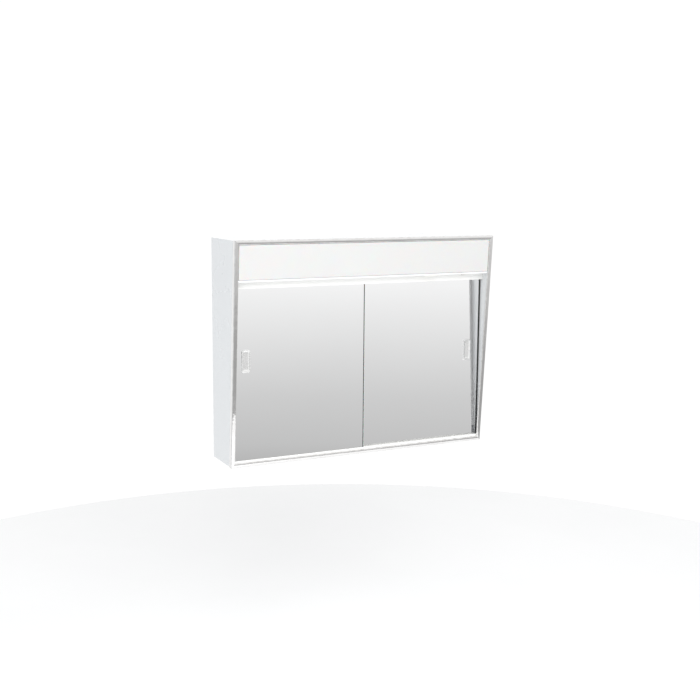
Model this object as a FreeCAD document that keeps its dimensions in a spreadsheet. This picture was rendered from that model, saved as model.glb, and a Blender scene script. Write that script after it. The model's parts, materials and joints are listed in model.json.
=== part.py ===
"""Top-lighted medicine cabinet with two sliding mirror doors.

Frame of reference: the origin is the middle of the wall face, +X to the right as seen from
the front, +Y into the wall, +Z up.  Millimetres throughout.
The front leans outwards, so the cabinet is deeper at the top than at the bottom.
"""
import FreeCAD, Part
import math
import os
import re
import Sketcher
from FreeCAD import Placement, Rotation, Vector

# ---------------------------------------------------------------- driving sizes
SIZES = {
    # whole cabinet
    "width": 609.6,
    "height": 471.5,
    "depth_top": 142.0,
    "depth_bottom": 108.5,
    # enamelled steel shell
    "steel": 0.8,
    "flange": 10.0,
    "flange_relief": 2.0,
    "stud_spacing": 406.4,
    "wall_hole": 7.0,
    "lower_hole_rise": 62.0,
    "upper_hole_drop": 41.2,
    "supply_hole": 22.2,
    # bright trim channel round the front
    "trim_steel": 0.7,
    "trim_gap": 0.2,
    "trim_face": 9.2,
    "trim_leg": 11.0,
    "trim_hem": 2.5,
    "trim_clearance": 0.3,
    "key_arm": 30.0,
    "key_steel": 1.2,
    "key_gap": 0.3,
    # sliding tracks
    "track_setback": 2.5,
    "track_lip": 0.8,
    "track_rib": 2.4,
    "track_base": 1.0,
    "track_foot": 8.0,
    "track_depth": 11.6,
    "track_end_gap": 0.2,
    "header_depth": 16.2,
    # doors
    "glass": 3.0,
    "backing": 0.3,
    "backing_margin": 2.5,
    "door_front_gap": 1.0,
    "door_back_gap": 0.7,
    "door_overlap": 10.0,
    "door_side_gap": 0.5,
    "door_engage": 5.5,
    "bumper_wall": 1.2,
    "bumper_leg": 1.8,
    "bumper_skin": 0.6,
    "glide_base": 1.5,
    "glide_wall": 0.5,
    "glide_height": 7.5,
    "glide_length": 25.0,
    "glide_inset": 40.0,
    "glide_gap": 0.05,
    "pull_width": 20.0,
    "pull_height": 48.0,
    "pull_rise": 3.0,
    "pull_floor": 0.8,
    "pull_rim": 2.8,
    "pull_corner": 5.0,
    "pull_inset": 32.0,
    "left_pull_rise": 222.0,
    "right_pull_rise": 211.0,
    # storage
    "shelf_clearance": 8.0,
    "shelf_lip": 10.0,
    "shelf_end_gap": 0.6,
    "lower_shelf_rise": 126.0,
    "upper_shelf_rise": 248.0,
    "ledge_size": 10.0,
    "ledge_back_gap": 14.0,
    "ledge_front_gap": 10.0,
    # light compartment
    "lamp_box": 83.5,
    "lip_rise": 3.0,
    "lens_gap": 0.5,
    "lens_thickness": 3.0,
    "lens_recess": 1.0,
    "clip_steel": 0.6,
    "clip_gap": 0.05,
    "clip_width": 16.0,
    "clip_height": 14.0,
    "clip_foot": 10.0,
    "clip_spacing": 250.0,
    "reflector_depth": 34.0,
    "reflector_end_gap": 7.1,
    "reflector_steel": 0.6,
    "reflector_foot": 16.0,
    "reflector_hood": 12.0,
    "reflector_bend": 16.0,
    "reflector_top_gap": 3.0,
    "wire_hole": 8.0,
    # lamps
    "lamp_drop": 2.4,
    "lamp_depth": 80.0,
    "lamp_end": 11.0,
    "bracket_steel": 1.2,
    "bracket_width": 44.0,
    "bracket_height": 64.0,
    "bracket_foot": 20.0,
    "holder_radius": 19.0,
    "holder_flange_radius": 23.5,
    "holder_flange": 5.0,
    "holder_length": 34.0,
    "holder_floor": 8.0,
    "shell_radius": 14.0,
    "shell_wall": 0.4,
    "shell_length": 25.0,
    "shell_gap": 0.2,
    "base_radius": 13.1,
    "base_length": 24.5,
    "base_tip_radius": 4.5,
    "base_tip": 3.0,
    "bulb_radius": 30.0,
    "bulb_length": 84.0,
    "bulb_wall": 0.8,
    "bulb_neck_step": 0.4,
    "bulb_shoulder_radius": 27.2,
    "bulb_shoulder_drop": 12.6,
    # switch and outlet, let in under the canopy
    "switch_inset": 58.1,
    "switch_length": 18.8,
    "switch_width": 12.6,
    "switch_body_rise": 15.0,
    "bezel_edge": 1.2,
    "bezel_drop": 1.8,
    "cutout_gap": 0.2,
    "rocker_well_length": 15.2,
    "rocker_well_width": 10.2,
    "rocker_well_depth": 8.0,
    "rocker_side_gap": 0.3,
    "rocker_half": 6.9,
    "rocker_end": 2.9,
    "rocker_waist": 1.9,
    "rocker_back": 2.0,
    "rocker_back_half": 6.4,
    "rocker_pivot_rise": 2.5,
    "rocker_pin": 1.0,
    "rocker_pin_gap": 0.05,
    "rocker_tilt": 9.0,
    "outlet_clearance": 3.0,
    "outlet_length": 32.0,
    "outlet_width": 21.0,
    "outlet_body_rise": 18.0,
    "outlet_edge": 2.0,
    "outlet_drop": 2.2,
    "blade_spacing": 12.7,
    "blade_long": 8.0,
    "blade_thin": 2.2,
    "blade_shift": 5.0,
    "earth_shift": 11.9,
    "earth_radius": 2.6,
    "socket_depth": 13.0,
    "contact_steel": 0.6,
    # wiring and small fixings
    "lead_radius": 1.5,
    "lead_rise": 5.0,
    "lead_pitch": 10.6,
    "lead_middle": 17.3,
    "splice_across": 80.0,
    "nut_length": 20.0,
    "nut_radius": 5.0,
    "nut_tip_radius": 3.2,
    "screw_head_radius": 3.4,
    "screw_head": 1.8,
    "holder_screw_radius": 2.0,
    "rivet_radius": 2.4,
    "rivet_head": 0.9,
    "rivet_inner": 90.0,
    "rivet_inset": 41.1,
    "earth_screw_across": 34.0,
}

# ------------------------------------- lines and faces worked out from those sizes
LINES = {
    "half": "width / 2",
    "top": "height / 2",
    "bottom": "-height / 2",
    "lean": "(depth_top - depth_bottom) / height",
    "inset": "trim_steel + trim_gap",
    "shell_half": "half - inset",
    "shell_top": "top - inset",
    "shell_bottom": "bottom + inset",
    "bay_half": "shell_half - steel",
    "bay_top": "shell_top - steel",
    "bay_bottom": "shell_bottom + steel",
    "opening_half": "half - trim_face",
    # light compartment floor, and the tracks below it and on the cabinet floor
    "floor_top": "top - lamp_box",
    "floor_under": "floor_top - steel",
    "lip_recess": "trim_hem + trim_clearance",
    "header_under": "floor_under - header_depth",
    "track_floor": "bay_bottom + track_base",
    "track_top": "bay_bottom + track_depth",
    # distances from the wall, going forwards through the tracks
    "channel": "door_front_gap + glass + backing + door_back_gap",
    "track_front": "depth_bottom - track_setback",
    "front_channel": "track_front - track_lip",
    "rib_front": "front_channel - channel",
    "rear_channel": "rib_front - track_rib",
    "rear_lip": "rear_channel - channel",
    "track_back": "rear_lip - track_lip",
    "foot_back": "track_back - track_foot",
    "rivet_outer": "bay_half - rivet_inset",
    "shelf_front": "track_back - shelf_clearance",
    # doors
    "glass_edge": "bay_half - door_side_gap - bumper_wall",
    "meeting_edge": "door_overlap / 2",
    "door_bottom": "track_floor + glide_gap + glide_base",
    "door_top": "header_under + door_engage",
    "bumper_bottom": "shell_bottom + flange + flange_relief / 2",
    # diffuser
    "lens_bottom": "floor_top + lip_rise + lens_gap",
    "lens_top": "top - trim_face - lens_gap",
    "lens_half": "opening_half - lens_gap",
    "lens_back": "lens_recess + lens_thickness",
    # canopy overhang, where the switch and the outlet sit
    "canopy_front": "depth_bottom + lean * (floor_top - bottom) - lip_recess - steel",
    "canopy_middle": "(canopy_front + track_front) / 2",
    "switch_across": "bay_half - switch_inset",
    # lamps
    "lamp_height": "(floor_top + bay_top) / 2 - lamp_drop",
    "lamp_root": "bay_half - lamp_end",
    "reflector_half": "lamp_root - reflector_end_gap",
    "base_start": "holder_floor + shell_wall",
    "glass_start": "base_start + base_tip + base_length",
    "bulb_tip": "glass_start + bulb_length",
    "bulb_middle": "bulb_tip - bulb_radius",
    "outlet_across": "lamp_root - bulb_tip - outlet_clearance - outlet_length / 2",
    "lead_height": "floor_top + lead_rise",
    "lead_end_across": "bay_half - (lamp_end - bracket_steel) / 2",
}

# a cut that takes less than this many cubic millimetres has missed the solid
LEAST_CUT = 0.001
# cosine above which two directions count as parallel
PARALLEL = 0.999

doc = FreeCAD.newDocument("medicine_cabinet")
sheet = doc.addObject("Spreadsheet::Sheet", "Sizes")
for row, (alias, number) in enumerate(SIZES.items(), start=1):
    sheet.set(f"A{row}", alias)
    sheet.set(f"B{row}", str(number))
    sheet.setAlias(f"B{row}", alias)
doc.recompute()

pieces = []


# ---------------------------------------------------------------- formula helpers
def formula(text):
    """Spell a formula out: lines in brackets, sizes by their cell in the sheet."""
    def spell(match):
        word = match.group(0)
        if word in LINES:
            return f"({formula(LINES[word])})"
        return f"Sizes.{word}" if word in SIZES else word
    return re.sub(r"[a-z][a-z_]*", spell, str(text))


def bind(thing, name, text):
    """Tie one property of an object to a formula."""
    thing.setExpression(name, formula(text))


def front(up, behind="0"):
    """Y of the leaning front at a height, some way behind its outer face."""
    return f"-(depth_bottom + lean * (({up}) - bottom)) + ({behind})"


def span(side, near, far):
    """Start and length along X of something between two distances from the middle."""
    start = near if side > 0 else f"-({far})"
    return start, f"({far}) - ({near})"


def rectangle(left, low, right, high):
    return [(left, low), (right, low), (right, high), (left, high)]


def centred(across, up, length, tall):
    """Corners of a rectangle round its middle."""
    return rectangle(f"({across}) - ({length}) / 2", f"({up}) - ({tall}) / 2",
                     f"({across}) + ({length}) / 2", f"({up}) + ({tall}) / 2")


# ---------------------------------------------------------------- sketch helpers
def pin_point(sketch, line, end, across, up):
    """Hold one point of a sketch at a place given by two formulas."""
    for kind, text in (("DistanceX", across), ("DistanceY", up)):
        index = sketch.addConstraint(Sketcher.Constraint(kind, line, end, 1.0))
        bind(sketch, f"Constraints[{index}]", text)


def draw_polygon(sketch, corners):
    """Closed outline with straight sides, every corner held by its own formulas."""
    first = sketch.GeometryCount
    count = len(corners)
    turn = 2 * math.pi / count
    ring = [Vector(math.cos(i * turn), math.sin(i * turn), 0) for i in range(count)]
    for i in range(count):
        sketch.addGeometry(Part.LineSegment(ring[i], ring[(i + 1) % count]), False)
    for i in range(count):
        follower = first + (i + 1) % count
        sketch.addConstraint(Sketcher.Constraint("Coincident", first + i, 2, follower, 1))
    for i, (across, up) in enumerate(corners):
        pin_point(sketch, first + i, 1, across, up)


def draw_circle(sketch, across, up, radius):
    circle = sketch.addGeometry(Part.Circle(Vector(0, 0, 0), Vector(0, 0, 1), 1.0), False)
    index = sketch.addConstraint(Sketcher.Constraint("Radius", circle, 1.0))
    bind(sketch, f"Constraints[{index}]", radius)
    pin_point(sketch, circle, 3, across, up)


def new_sketch(body, plane, start):
    """Sketch on one of the body's own planes, moved along that plane's normal."""
    sketch = body.newObject("Sketcher::SketchObject", f"{body.Name}_sketch")
    base = next(o for o in body.Origin.OriginFeatures if o.Role == plane)
    sketch.AttachmentSupport = [(base, "")]
    sketch.MapMode = "FlatFace"
    bind(sketch, "AttachmentOffset.Base.z", start)
    return sketch


def new_body(label):
    body = doc.addObject("PartDesign::Body", label)
    body.Label = label
    return body


def add_pad(body, plane, corners, start, length):
    """Pad an outline along the plane's normal: +X on YZ, -Y on XZ, +Z on XY."""
    sketch = new_sketch(body, plane, start)
    draw_polygon(sketch, corners)
    pad = body.newObject("PartDesign::Pad", f"{body.Name}_pad")
    pad.Profile = sketch
    bind(pad, "Length", length)
    sketch.Visibility = False
    body.Tip = pad
    return pad


def add_pocket(body, plane, outlines, circles, start, length):
    """Cut outlines and circles along the plane's normal, and check that metal went."""
    doc.recompute()
    volume_before = body.Shape.Volume
    sketch = new_sketch(body, plane, start)
    for corners in outlines:
        draw_polygon(sketch, corners)
    for across, up, radius in circles:
        draw_circle(sketch, across, up, radius)
    pocket = body.newObject("PartDesign::Pocket", f"{body.Name}_pocket")
    pocket.Profile = sketch
    pocket.Reversed = True
    bind(pocket, "Length", length)
    sketch.Visibility = False
    body.Tip = pocket
    doc.recompute()
    if body.Shape.Volume > volume_before - LEAST_CUT:
        raise ValueError(f"{body.Label}: a pocket cuts nothing")
    return pocket


def round_edges(body, radius, wanted):
    """Fillet every edge of the body's last feature that the test picks."""
    doc.recompute()
    base = body.Tip
    names = [f"Edge{i}" for i, edge in enumerate(base.Shape.Edges, start=1) if wanted(edge)]
    fillet = body.newObject("PartDesign::Fillet", f"{body.Name}_fillet")
    fillet.Base = (base, names)
    bind(fillet, "Radius", radius)
    body.Tip = fillet
    return fillet


def runs_along(axis):
    """Test for straight edges parallel to an axis."""
    def test(edge):
        if edge.Curve.TypeId != "Part::GeomLine":
            return False
        return abs(edge.Curve.Direction.dot(axis)) > PARALLEL
    return test


# ---------------------------------------------------------------- piece helpers
def keep(thing, label):
    """Register a finished sub-part under the name its file gets."""
    thing.Label = label
    pieces.append(thing)
    return thing


def along_x(label, corners, start, length):
    """Piece of one section in the YZ plane, run along X."""
    body = new_body(label)
    add_pad(body, "YZ_Plane", corners, start, length)
    return body


def along_y(label, corners, near, length):
    """Piece of one outline seen from the front, run forwards from a distance off the wall."""
    body = new_body(label)
    add_pad(body, "XZ_Plane", corners, near, length)
    return body


def group(label, members):
    """Several alike solids that share one node."""
    compound = doc.addObject("Part::Compound", label)
    compound.Links = members
    return keep(compound, label)


def cylinder(name, radius, length, place, turn=Rotation()):
    """Round solid along its own Z, turned and set at a place given by formulas."""
    solid = doc.addObject("Part::Cylinder", name)
    bind(solid, "Radius", radius)
    bind(solid, "Height", length)
    return set_place(solid, place, turn)


def set_place(thing, place, turn=Rotation()):
    thing.Placement = Placement(Vector(), turn)
    for axis, text in zip("xyz", place):
        bind(thing, f"Placement.Base.{axis}", text)
    return thing


def revolved(label, outline, place, turn):
    """Turned piece: outline of (radius, distance along the axis) spun about its own Z."""
    body = new_body(label)
    sketch = new_sketch(body, "XZ_Plane", "0")
    draw_polygon(sketch, outline)
    spin = body.newObject("PartDesign::Revolution", f"{label}_spin")
    spin.Profile = sketch
    spin.ReferenceAxis = (sketch, ["V_Axis"])
    spin.Angle = 360
    sketch.Visibility = False
    body.Tip = spin
    return keep(set_place(body, place, turn), label)


FORWARDS = Rotation(Vector(1, 0, 0), 90)
DOWNWARDS = Rotation(Vector(1, 0, 0), 180)
SIDES = (("left", -1), ("right", 1))


# ---------------------------------------------------------------- enamelled shell
def side_panels():
    outline = [("0", "shell_bottom"), (front("shell_bottom", "inset"), "shell_bottom"),
               (front("shell_top", "inset"), "shell_top"), ("0", "shell_top")]
    for name, side in SIDES:
        label = f"{name}_side_panel"
        keep(along_x(label, outline, *span(side, "bay_half", "shell_half")), label)


def folded_panel(label, outer, inner, edge_of_flange, depth_at):
    """Top or bottom sheet between the sides, its ends folded along the side panels."""
    outline = [("-bay_half", outer), ("bay_half", outer), ("bay_half", edge_of_flange),
               ("bay_half - steel", edge_of_flange), ("bay_half - steel", inner),
               ("-(bay_half - steel)", inner), ("-(bay_half - steel)", edge_of_flange),
               ("-bay_half", edge_of_flange)]
    depth = f"depth_bottom + lean * (({depth_at}) - bottom) - inset - steel"
    keep(along_y(label, outline, "steel", depth), label)


def back_panel():
    body = along_y("back_panel", rectangle("-bay_half", "shell_bottom", "bay_half", "shell_top"),
                   "0", "steel")
    tab_half = "bay_half - steel - flange_relief"
    tabs = [rectangle(f"-({tab_half})", "bay_top - steel", tab_half, "bay_top"),
            rectangle(f"-({tab_half})", "bay_bottom", tab_half, "bay_bottom + steel")]
    low = "bay_bottom + flange + flange_relief"
    high = "floor_under - flange_relief"
    tabs.append(rectangle("-bay_half", low, "-bay_half + steel", high))
    tabs.append(rectangle("bay_half - steel", low, "bay_half", high))
    for tab in tabs:
        add_pad(body, "XZ_Plane", tab, "steel", "flange - steel")
    rows = ("bottom + lower_hole_rise", "floor_under - upper_hole_drop")
    holes = [(f"{side} * stud_spacing / 2", row, "wall_hole / 2") for side in (-1, 1) for row in rows]
    holes.append(("0", "lamp_height", "supply_hole / 2"))
    add_pocket(body, "XZ_Plane", [], holes, "0", "steel")
    keep(body, "back_panel")


# ---------------------------------------------------------------- bright trim frame
def mitre(body, side_corners):
    """Cut both ends of a rail or stile at 45 degrees through the frame's corners."""
    add_pocket(body, "XZ_Plane", side_corners, [], "0", "depth_top + trim_leg")


def trim_rails():
    for name, edge, inwards in (("top", "top", -1), ("bottom", "bottom", 1)):
        def up(distance):
            return f"{edge} + {inwards} * ({distance})"
        outline = [(front(edge), edge), (front(up("trim_face")), up("trim_face")),
                   (front(up("trim_face"), "trim_hem"), up("trim_face")),
                   (front(up("trim_face"), "trim_hem"), up("trim_face - trim_steel")),
                   (front(up("trim_face - trim_steel"), "trim_steel"), up("trim_face - trim_steel")),
                   (front(up("trim_steel"), "trim_steel"), up("trim_steel")),
                   (front(edge, "trim_leg"), up("trim_steel")), (front(edge, "trim_leg"), edge)]
        label = f"frame_{name}_rail"
        body = along_x(label, outline, "-half", "width")
        corners = []
        for side in (-1, 1):
            def out(distance):
                return f"{side} * (half + ({distance}))"
            corners.append([(out("trim_leg"), up("-trim_leg")),
                            (out("-trim_face - trim_leg"), up("trim_face + trim_leg")),
                            (out("trim_leg"), up("trim_face + trim_leg"))])
        mitre(body, corners)
        keep(body, label)


def leaning_strip(low, high, near, far):
    """Section of a sheet that follows the leaning front between two heights."""
    return [(front(low, near), low), (front(high, near), high),
            (front(high, far), high), (front(low, far), low)]


def trim_stiles():
    for name, side in SIDES:
        label = f"frame_{name}_stile"
        body = new_body(label)
        walls = (("opening_half", "half", "trim_steel"),
                 ("half - trim_steel", "half", "trim_leg"),
                 ("opening_half", "opening_half + trim_steel", "trim_hem"))
        for near, far, deep in walls:
            add_pad(body, "YZ_Plane", leaning_strip("bottom", "top", "0", deep),
                    *span(side, near, far))
        corners = []
        for edge, inwards in (("top", -1), ("bottom", 1)):
            corners.append([
                (f"{side} * (half + trim_leg)", f"{edge} - {inwards} * trim_leg"),
                (f"{side} * (half - trim_face - trim_leg)",
                 f"{edge} + {inwards} * (trim_face + trim_leg)"),
                (f"{side} * (half - trim_face - trim_leg)", f"{edge} - {inwards} * trim_leg")])
        mitre(body, corners)
        keep(body, label)


def corner_keys():
    """Flat L keys inside the channel, which join each rail to its stile."""
    keys = []
    outer = "bay_half - steel - key_gap"
    inner = "opening_half + trim_steel + key_gap"
    for name, side in SIDES:
        for end, edge, inwards in (("upper", "top", -1), ("lower", "bottom", 1)):
            near = f"{edge} + {inwards} * (inset + steel + key_gap)"
            far = f"{edge} + {inwards} * (trim_face - trim_steel - key_gap)"
            tip = f"{edge} + {inwards} * key_arm"
            behind = "trim_steel + key_steel"
            body = new_body(f"{name}_{end}_key")
            add_pad(body, "YZ_Plane", leaning_strip(near, tip, "trim_steel", behind),
                    *span(side, inner, outer))
            add_pad(body, "YZ_Plane", leaning_strip(near, far, "trim_steel", behind),
                    *span(side, "half - key_arm", outer))
            keys.append(body)
    group("frame_corner_keys", keys)


# ---------------------------------------------------------------- sliding tracks
def track_outline(base_far, base_near, tips):
    """Double channel: a base with three lips, the middle one a thick rib."""
    outline = [("-track_front", base_far), ("-track_front", tips)]
    lips = (("front_channel", "rib_front"), ("rear_channel", "rear_lip"))
    for start, end in lips:
        outline += [(f"-({start})", tips), (f"-({start})", base_near),
                    (f"-({end})", base_near), (f"-({end})", tips)]
    return outline + [("-track_back", tips), ("-track_back", base_near),
                      ("-foot_back", base_near), ("-foot_back", base_far)]


def tracks():
    lower = track_outline("bay_bottom", "track_floor", "track_top")
    upper = track_outline("floor_under", "floor_under - track_base", "header_under")
    for label, outline, half_length in (
            ("lower_door_track", lower, "(bay_half - steel - track_end_gap)"),
            ("upper_door_track", upper, "(bay_half - track_end_gap)")):
        keep(along_x(label, outline, f"-{half_length}", f"2 * {half_length}"), label)


def track_rivets():
    for label, up, turn in (("lower_track_rivets", "track_floor", Rotation()),
                            ("upper_track_rivets", "floor_under - track_base", DOWNWARDS)):
        rivets = []
        for side in (-1, 1):
            for across in ("rivet_inner", "rivet_outer"):
                place = (f"{side} * {across}", "-(track_back + foot_back) / 2", up)
                rivets.append(cylinder("rivet", "rivet_radius", "rivet_head", place, turn))
        group(label, rivets)


# ---------------------------------------------------------------- mirror doors
def door(name, side, channel_start, pull_rise):
    """One mirror pane, with its backing, edge bumper, glides and finger pull."""
    face = f"{channel_start} - door_front_gap"
    back = f"{face} - glass"
    inner, outer = "-meeting_edge", "glass_edge"

    pane = rectangle(f"{side} * ({inner})", "door_bottom", f"{side} * ({outer})", "door_top")
    label = f"{name}_door_mirror"
    keep(along_y(label, pane, back, "glass"), label)

    film = rectangle(f"{side} * ({inner} + backing_margin)", "door_bottom + glide_height",
                     f"{side} * ({outer} - backing_margin)", "door_top - backing_margin")
    label = f"{name}_door_backing"
    keep(along_y(label, film, f"{back} - backing", "backing"), label)

    label = f"{name}_door_bumper"
    body = new_body(label)
    tip, reach = f"{side} * ({outer} + bumper_wall)", f"{side} * ({outer} - bumper_leg)"
    edge = f"{side} * ({outer})"
    clip = [(tip, f"-({face} + bumper_skin)"), (reach, f"-({face} + bumper_skin)"),
            (reach, f"-({face})"), (edge, f"-({face})"), (edge, f"-({back})"),
            (reach, f"-({back})"), (reach, f"-({back} - bumper_skin)"),
            (tip, f"-({back} - bumper_skin)")]
    add_pad(body, "XY_Plane", clip, "bumper_bottom", "door_top - bumper_bottom")
    keep(body, label)

    shoe = [(f"-({face} + glide_wall)", "door_bottom - glide_base"),
            (f"-({face} + glide_wall)", "door_bottom + glide_height - glide_base"),
            (f"-({face})", "door_bottom + glide_height - glide_base"),
            (f"-({face})", "door_bottom"), (f"-({back})", "door_bottom"),
            (f"-({back})", "door_bottom + glide_height - glide_base"),
            (f"-({back} - glide_wall)", "door_bottom + glide_height - glide_base"),
            (f"-({back} - glide_wall)", "door_bottom - glide_base")]
    shoes = []
    for end, near in (("inner", "-meeting_edge + glide_inset"),
                      ("outer", "glass_edge - glide_inset - glide_length")):
        start, length = span(side, near, f"{near} + glide_length")
        shoes.append(along_x(f"{name}_{end}_glide", shoe, start, length))
    group(f"{name}_door_glides", shoes)

    label = f"{name}_door_pull"
    middle = (f"{side} * (glass_edge - pull_inset)", f"bottom + {pull_rise}")
    body = along_y(label, centred(*middle, "pull_width", "pull_height"), face, "pull_rise")
    round_edges(body, "pull_corner", runs_along(Vector(0, 1, 0)))
    well = centred(*middle, "pull_width - 2 * pull_rim", "pull_height - 2 * pull_rim")
    add_pocket(body, "XZ_Plane", [well], [], f"{face} + pull_floor", "pull_rise - pull_floor")
    keep(body, label)


# ---------------------------------------------------------------- storage
def shelves():
    for name in ("lower", "upper"):
        up = f"(bottom + {name}_shelf_rise)"
        outline = [("-steel", f"{up} + shelf_lip"), ("-steel", f"{up} - steel"),
                   ("-shelf_front + steel", f"{up} - steel"),
                   ("-shelf_front + steel", f"{up} - shelf_lip"),
                   ("-shelf_front", f"{up} - shelf_lip"), ("-shelf_front", up),
                   ("-2 * steel", up), ("-2 * steel", f"{up} + shelf_lip")]
        half_length = "(bay_half - steel - shelf_end_gap)"
        label = f"{name}_shelf"
        keep(along_x(label, outline, f"-{half_length}", f"2 * {half_length}"), label)


def shelf_ledges():
    """Angle ledges welded to the sides, one under each end of each shelf."""
    ledges = []
    for name, side in SIDES:
        for level in ("lower", "upper"):
            under = f"(bottom + {level}_shelf_rise - steel)"

            def out(distance):
                return f"{side} * (bay_half - ({distance}))"
            outline = [(out("0"), under), (out("ledge_size"), under),
                       (out("ledge_size"), f"{under} - steel"), (out("steel"), f"{under} - steel"),
                       (out("steel"), f"{under} - ledge_size"), (out("0"), f"{under} - ledge_size")]
            ledges.append(along_y(f"{name}_{level}_ledge", outline, "ledge_back_gap",
                                  "shelf_front - ledge_back_gap - ledge_front_gap"))
    group("shelf_ledges", ledges)


# ---------------------------------------------------------------- light compartment
def light_box_floor():
    lip = "floor_top + lip_rise"
    outline = [("-steel", "floor_under"), (front("floor_under", "lip_recess"), "floor_under"),
               (front(lip, "lip_recess"), lip), (front(lip, "lip_recess + steel"), lip),
               (front("floor_top", "lip_recess + steel"), "floor_top"),
               ("-2 * steel", "floor_top"), ("-2 * steel", "floor_top + flange"),
               ("-steel", "floor_top + flange")]
    body = along_x("light_box_floor", outline, "-bay_half", "2 * bay_half")
    cutouts = [centred(f"{name}_across", "-canopy_middle", f"{name}_length + 2 * cutout_gap",
                       f"{name}_width + 2 * cutout_gap") for name in ("switch", "outlet")]
    add_pocket(body, "XY_Plane", cutouts, [], "floor_under", "steel")
    keep(body, "light_box_floor")


def lamp_reflector():
    face, back = "-reflector_depth", "-reflector_depth + reflector_steel"
    bend = "bay_top - reflector_bend"
    rim = "bay_top - reflector_top_gap"
    outline = [(f"{face} - reflector_foot", "floor_top"), (back, "floor_top"), (back, bend),
               (f"{back} - reflector_hood", rim), (f"{face} - reflector_hood", rim),
               (face, bend), (face, "floor_top + reflector_steel"),
               (f"{face} - reflector_foot", "floor_top + reflector_steel")]
    body = along_x("lamp_reflector", outline, "-reflector_half", "2 * reflector_half")
    holes = [(f"{name}_across", "lead_height + reflector_steel", "wire_hole / 2")
             for name in ("switch", "outlet")]
    add_pocket(body, "XZ_Plane", [], holes, "reflector_depth - 2 * reflector_steel",
               "3 * reflector_steel")
    keep(body, "lamp_reflector")
    screws = []
    for across in ("-splice_across", "splice_across"):
        place = (across, f"{face} - reflector_foot / 2", "floor_top + reflector_steel")
        screws.append(cylinder("reflector_screw", "screw_head_radius", "screw_head", place))
    group("reflector_screws", screws)


def diffuser():
    outline = leaning_strip("lens_bottom", "lens_top", "lens_recess", "lens_back")
    keep(along_x("diffuser", outline, "-lens_half", "2 * lens_half"), "diffuser")


def diffuser_clips():
    """Spring clips behind the diffuser: two on the floor and two under the top."""
    clips = []
    near, far = "lens_back + clip_gap", "lens_back + clip_gap + clip_steel"
    for name, side in SIDES:
        for level, seat, inwards in (("lower", "floor_top", 1), ("upper", "bay_top", -1)):
            def up(distance):
                return f"{seat} + {inwards} * ({distance})"
            outline = [(front(seat, near), seat), (front(up("clip_height"), near), up("clip_height")),
                       (front(up("clip_height"), far), up("clip_height")),
                       (front(up("clip_steel"), far), up("clip_steel")),
                       (front(seat, f"{far} + clip_foot"), up("clip_steel")),
                       (front(seat, f"{far} + clip_foot"), seat)]
            middle = f"{side} * clip_spacing / 2"
            clips.append(along_x(f"{name}_{level}_clip", outline, f"{middle} - clip_width / 2",
                                 "clip_width"))
    group("diffuser_clips", clips)


# ---------------------------------------------------------------- lamps
def lamp(name, side):
    """Bracket, porcelain lampholder, screw shell and bulb, pointing to the middle."""
    turn = Rotation(Vector(0, 1, 0), -90 * side)
    place = (f"{side} * lamp_root", "-lamp_depth", "lamp_height")

    def out(distance):
        return f"{side} * (lamp_root + ({distance}))"
    outline = [(out("0"), "floor_top + bracket_height"), (out("0"), "floor_top + bracket_steel"),
               (out("-bracket_foot"), "floor_top + bracket_steel"),
               (out("-bracket_foot"), "floor_top"), (out("bracket_steel"), "floor_top"),
               (out("bracket_steel"), "floor_top + bracket_height")]
    label = f"{name}_lamp_bracket"
    body = along_y(label, outline, "lamp_depth - bracket_width / 2", "bracket_width")
    add_pocket(body, "YZ_Plane", [], [("-lamp_depth", "lamp_height", "wire_hole / 2")],
               *span(side, "lamp_root - bracket_steel", "lamp_root + 2 * bracket_steel"))
    keep(body, label)

    bore = "shell_radius + shell_gap"
    revolved(f"{name}_lampholder", [
        ("0", "0"), ("holder_flange_radius", "0"), ("holder_flange_radius", "holder_flange"),
        ("holder_radius", "holder_flange"), ("holder_radius", "holder_length"),
        (bore, "holder_length"), (bore, "holder_floor"), ("0", "holder_floor")], place, turn)
    revolved(f"{name}_screw_shell", [
        ("0", "holder_floor"), ("shell_radius", "holder_floor"),
        ("shell_radius", "holder_floor + shell_length"),
        ("shell_radius - shell_wall", "holder_floor + shell_length"),
        ("shell_radius - shell_wall", "base_start"), ("0", "base_start")], place, turn)
    revolved(f"{name}_bulb_base", [
        ("0", "base_start"), ("base_tip_radius", "base_start"),
        ("base_radius", "base_start + base_tip"), ("base_radius", "glass_start"),
        ("0", "glass_start")], place, turn)
    bulb_envelope(f"{name}_bulb", place, turn)


def bulb_envelope(label, place, turn):
    """Thin round glass with a tapered neck."""
    skins = []
    for skin, start in (("0", "glass_start"), ("bulb_wall", "glass_start + bulb_wall")):
        ball = doc.addObject("Part::Sphere", f"{label}_ball")
        bind(ball, "Radius", f"bulb_radius - ({skin})")
        set_place(ball, ("0", "0", "bulb_middle"))
        neck = doc.addObject("Part::Cone", f"{label}_neck")
        bind(neck, "Radius1", f"base_radius - bulb_neck_step - ({skin})")
        bind(neck, "Radius2", f"bulb_shoulder_radius - ({skin})")
        bind(neck, "Height", f"bulb_middle - bulb_shoulder_drop - ({start})")
        set_place(neck, ("0", "0", start))
        whole = doc.addObject("Part::Fuse", f"{label}_skin")
        whole.Base = ball
        whole.Tool = neck
        skins.append(whole)
    glass = doc.addObject("Part::Cut", label)
    glass.Base, glass.Tool = skins
    keep(set_place(glass, place, turn), label)


def lampholder_screws():
    screws = []
    for name, side in SIDES:
        turn = Rotation(Vector(0, 1, 0), -90 * side)
        for above in (-1, 1):
            ring = "(holder_flange_radius + holder_radius) / 2"
            place = (f"{side} * (lamp_root - holder_flange)", f"-lamp_depth + {above} * {ring}",
                     "lamp_height")
            screws.append(cylinder("holder_screw", "holder_screw_radius", "screw_head", place, turn))
    group("lampholder_screws", screws)


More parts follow.
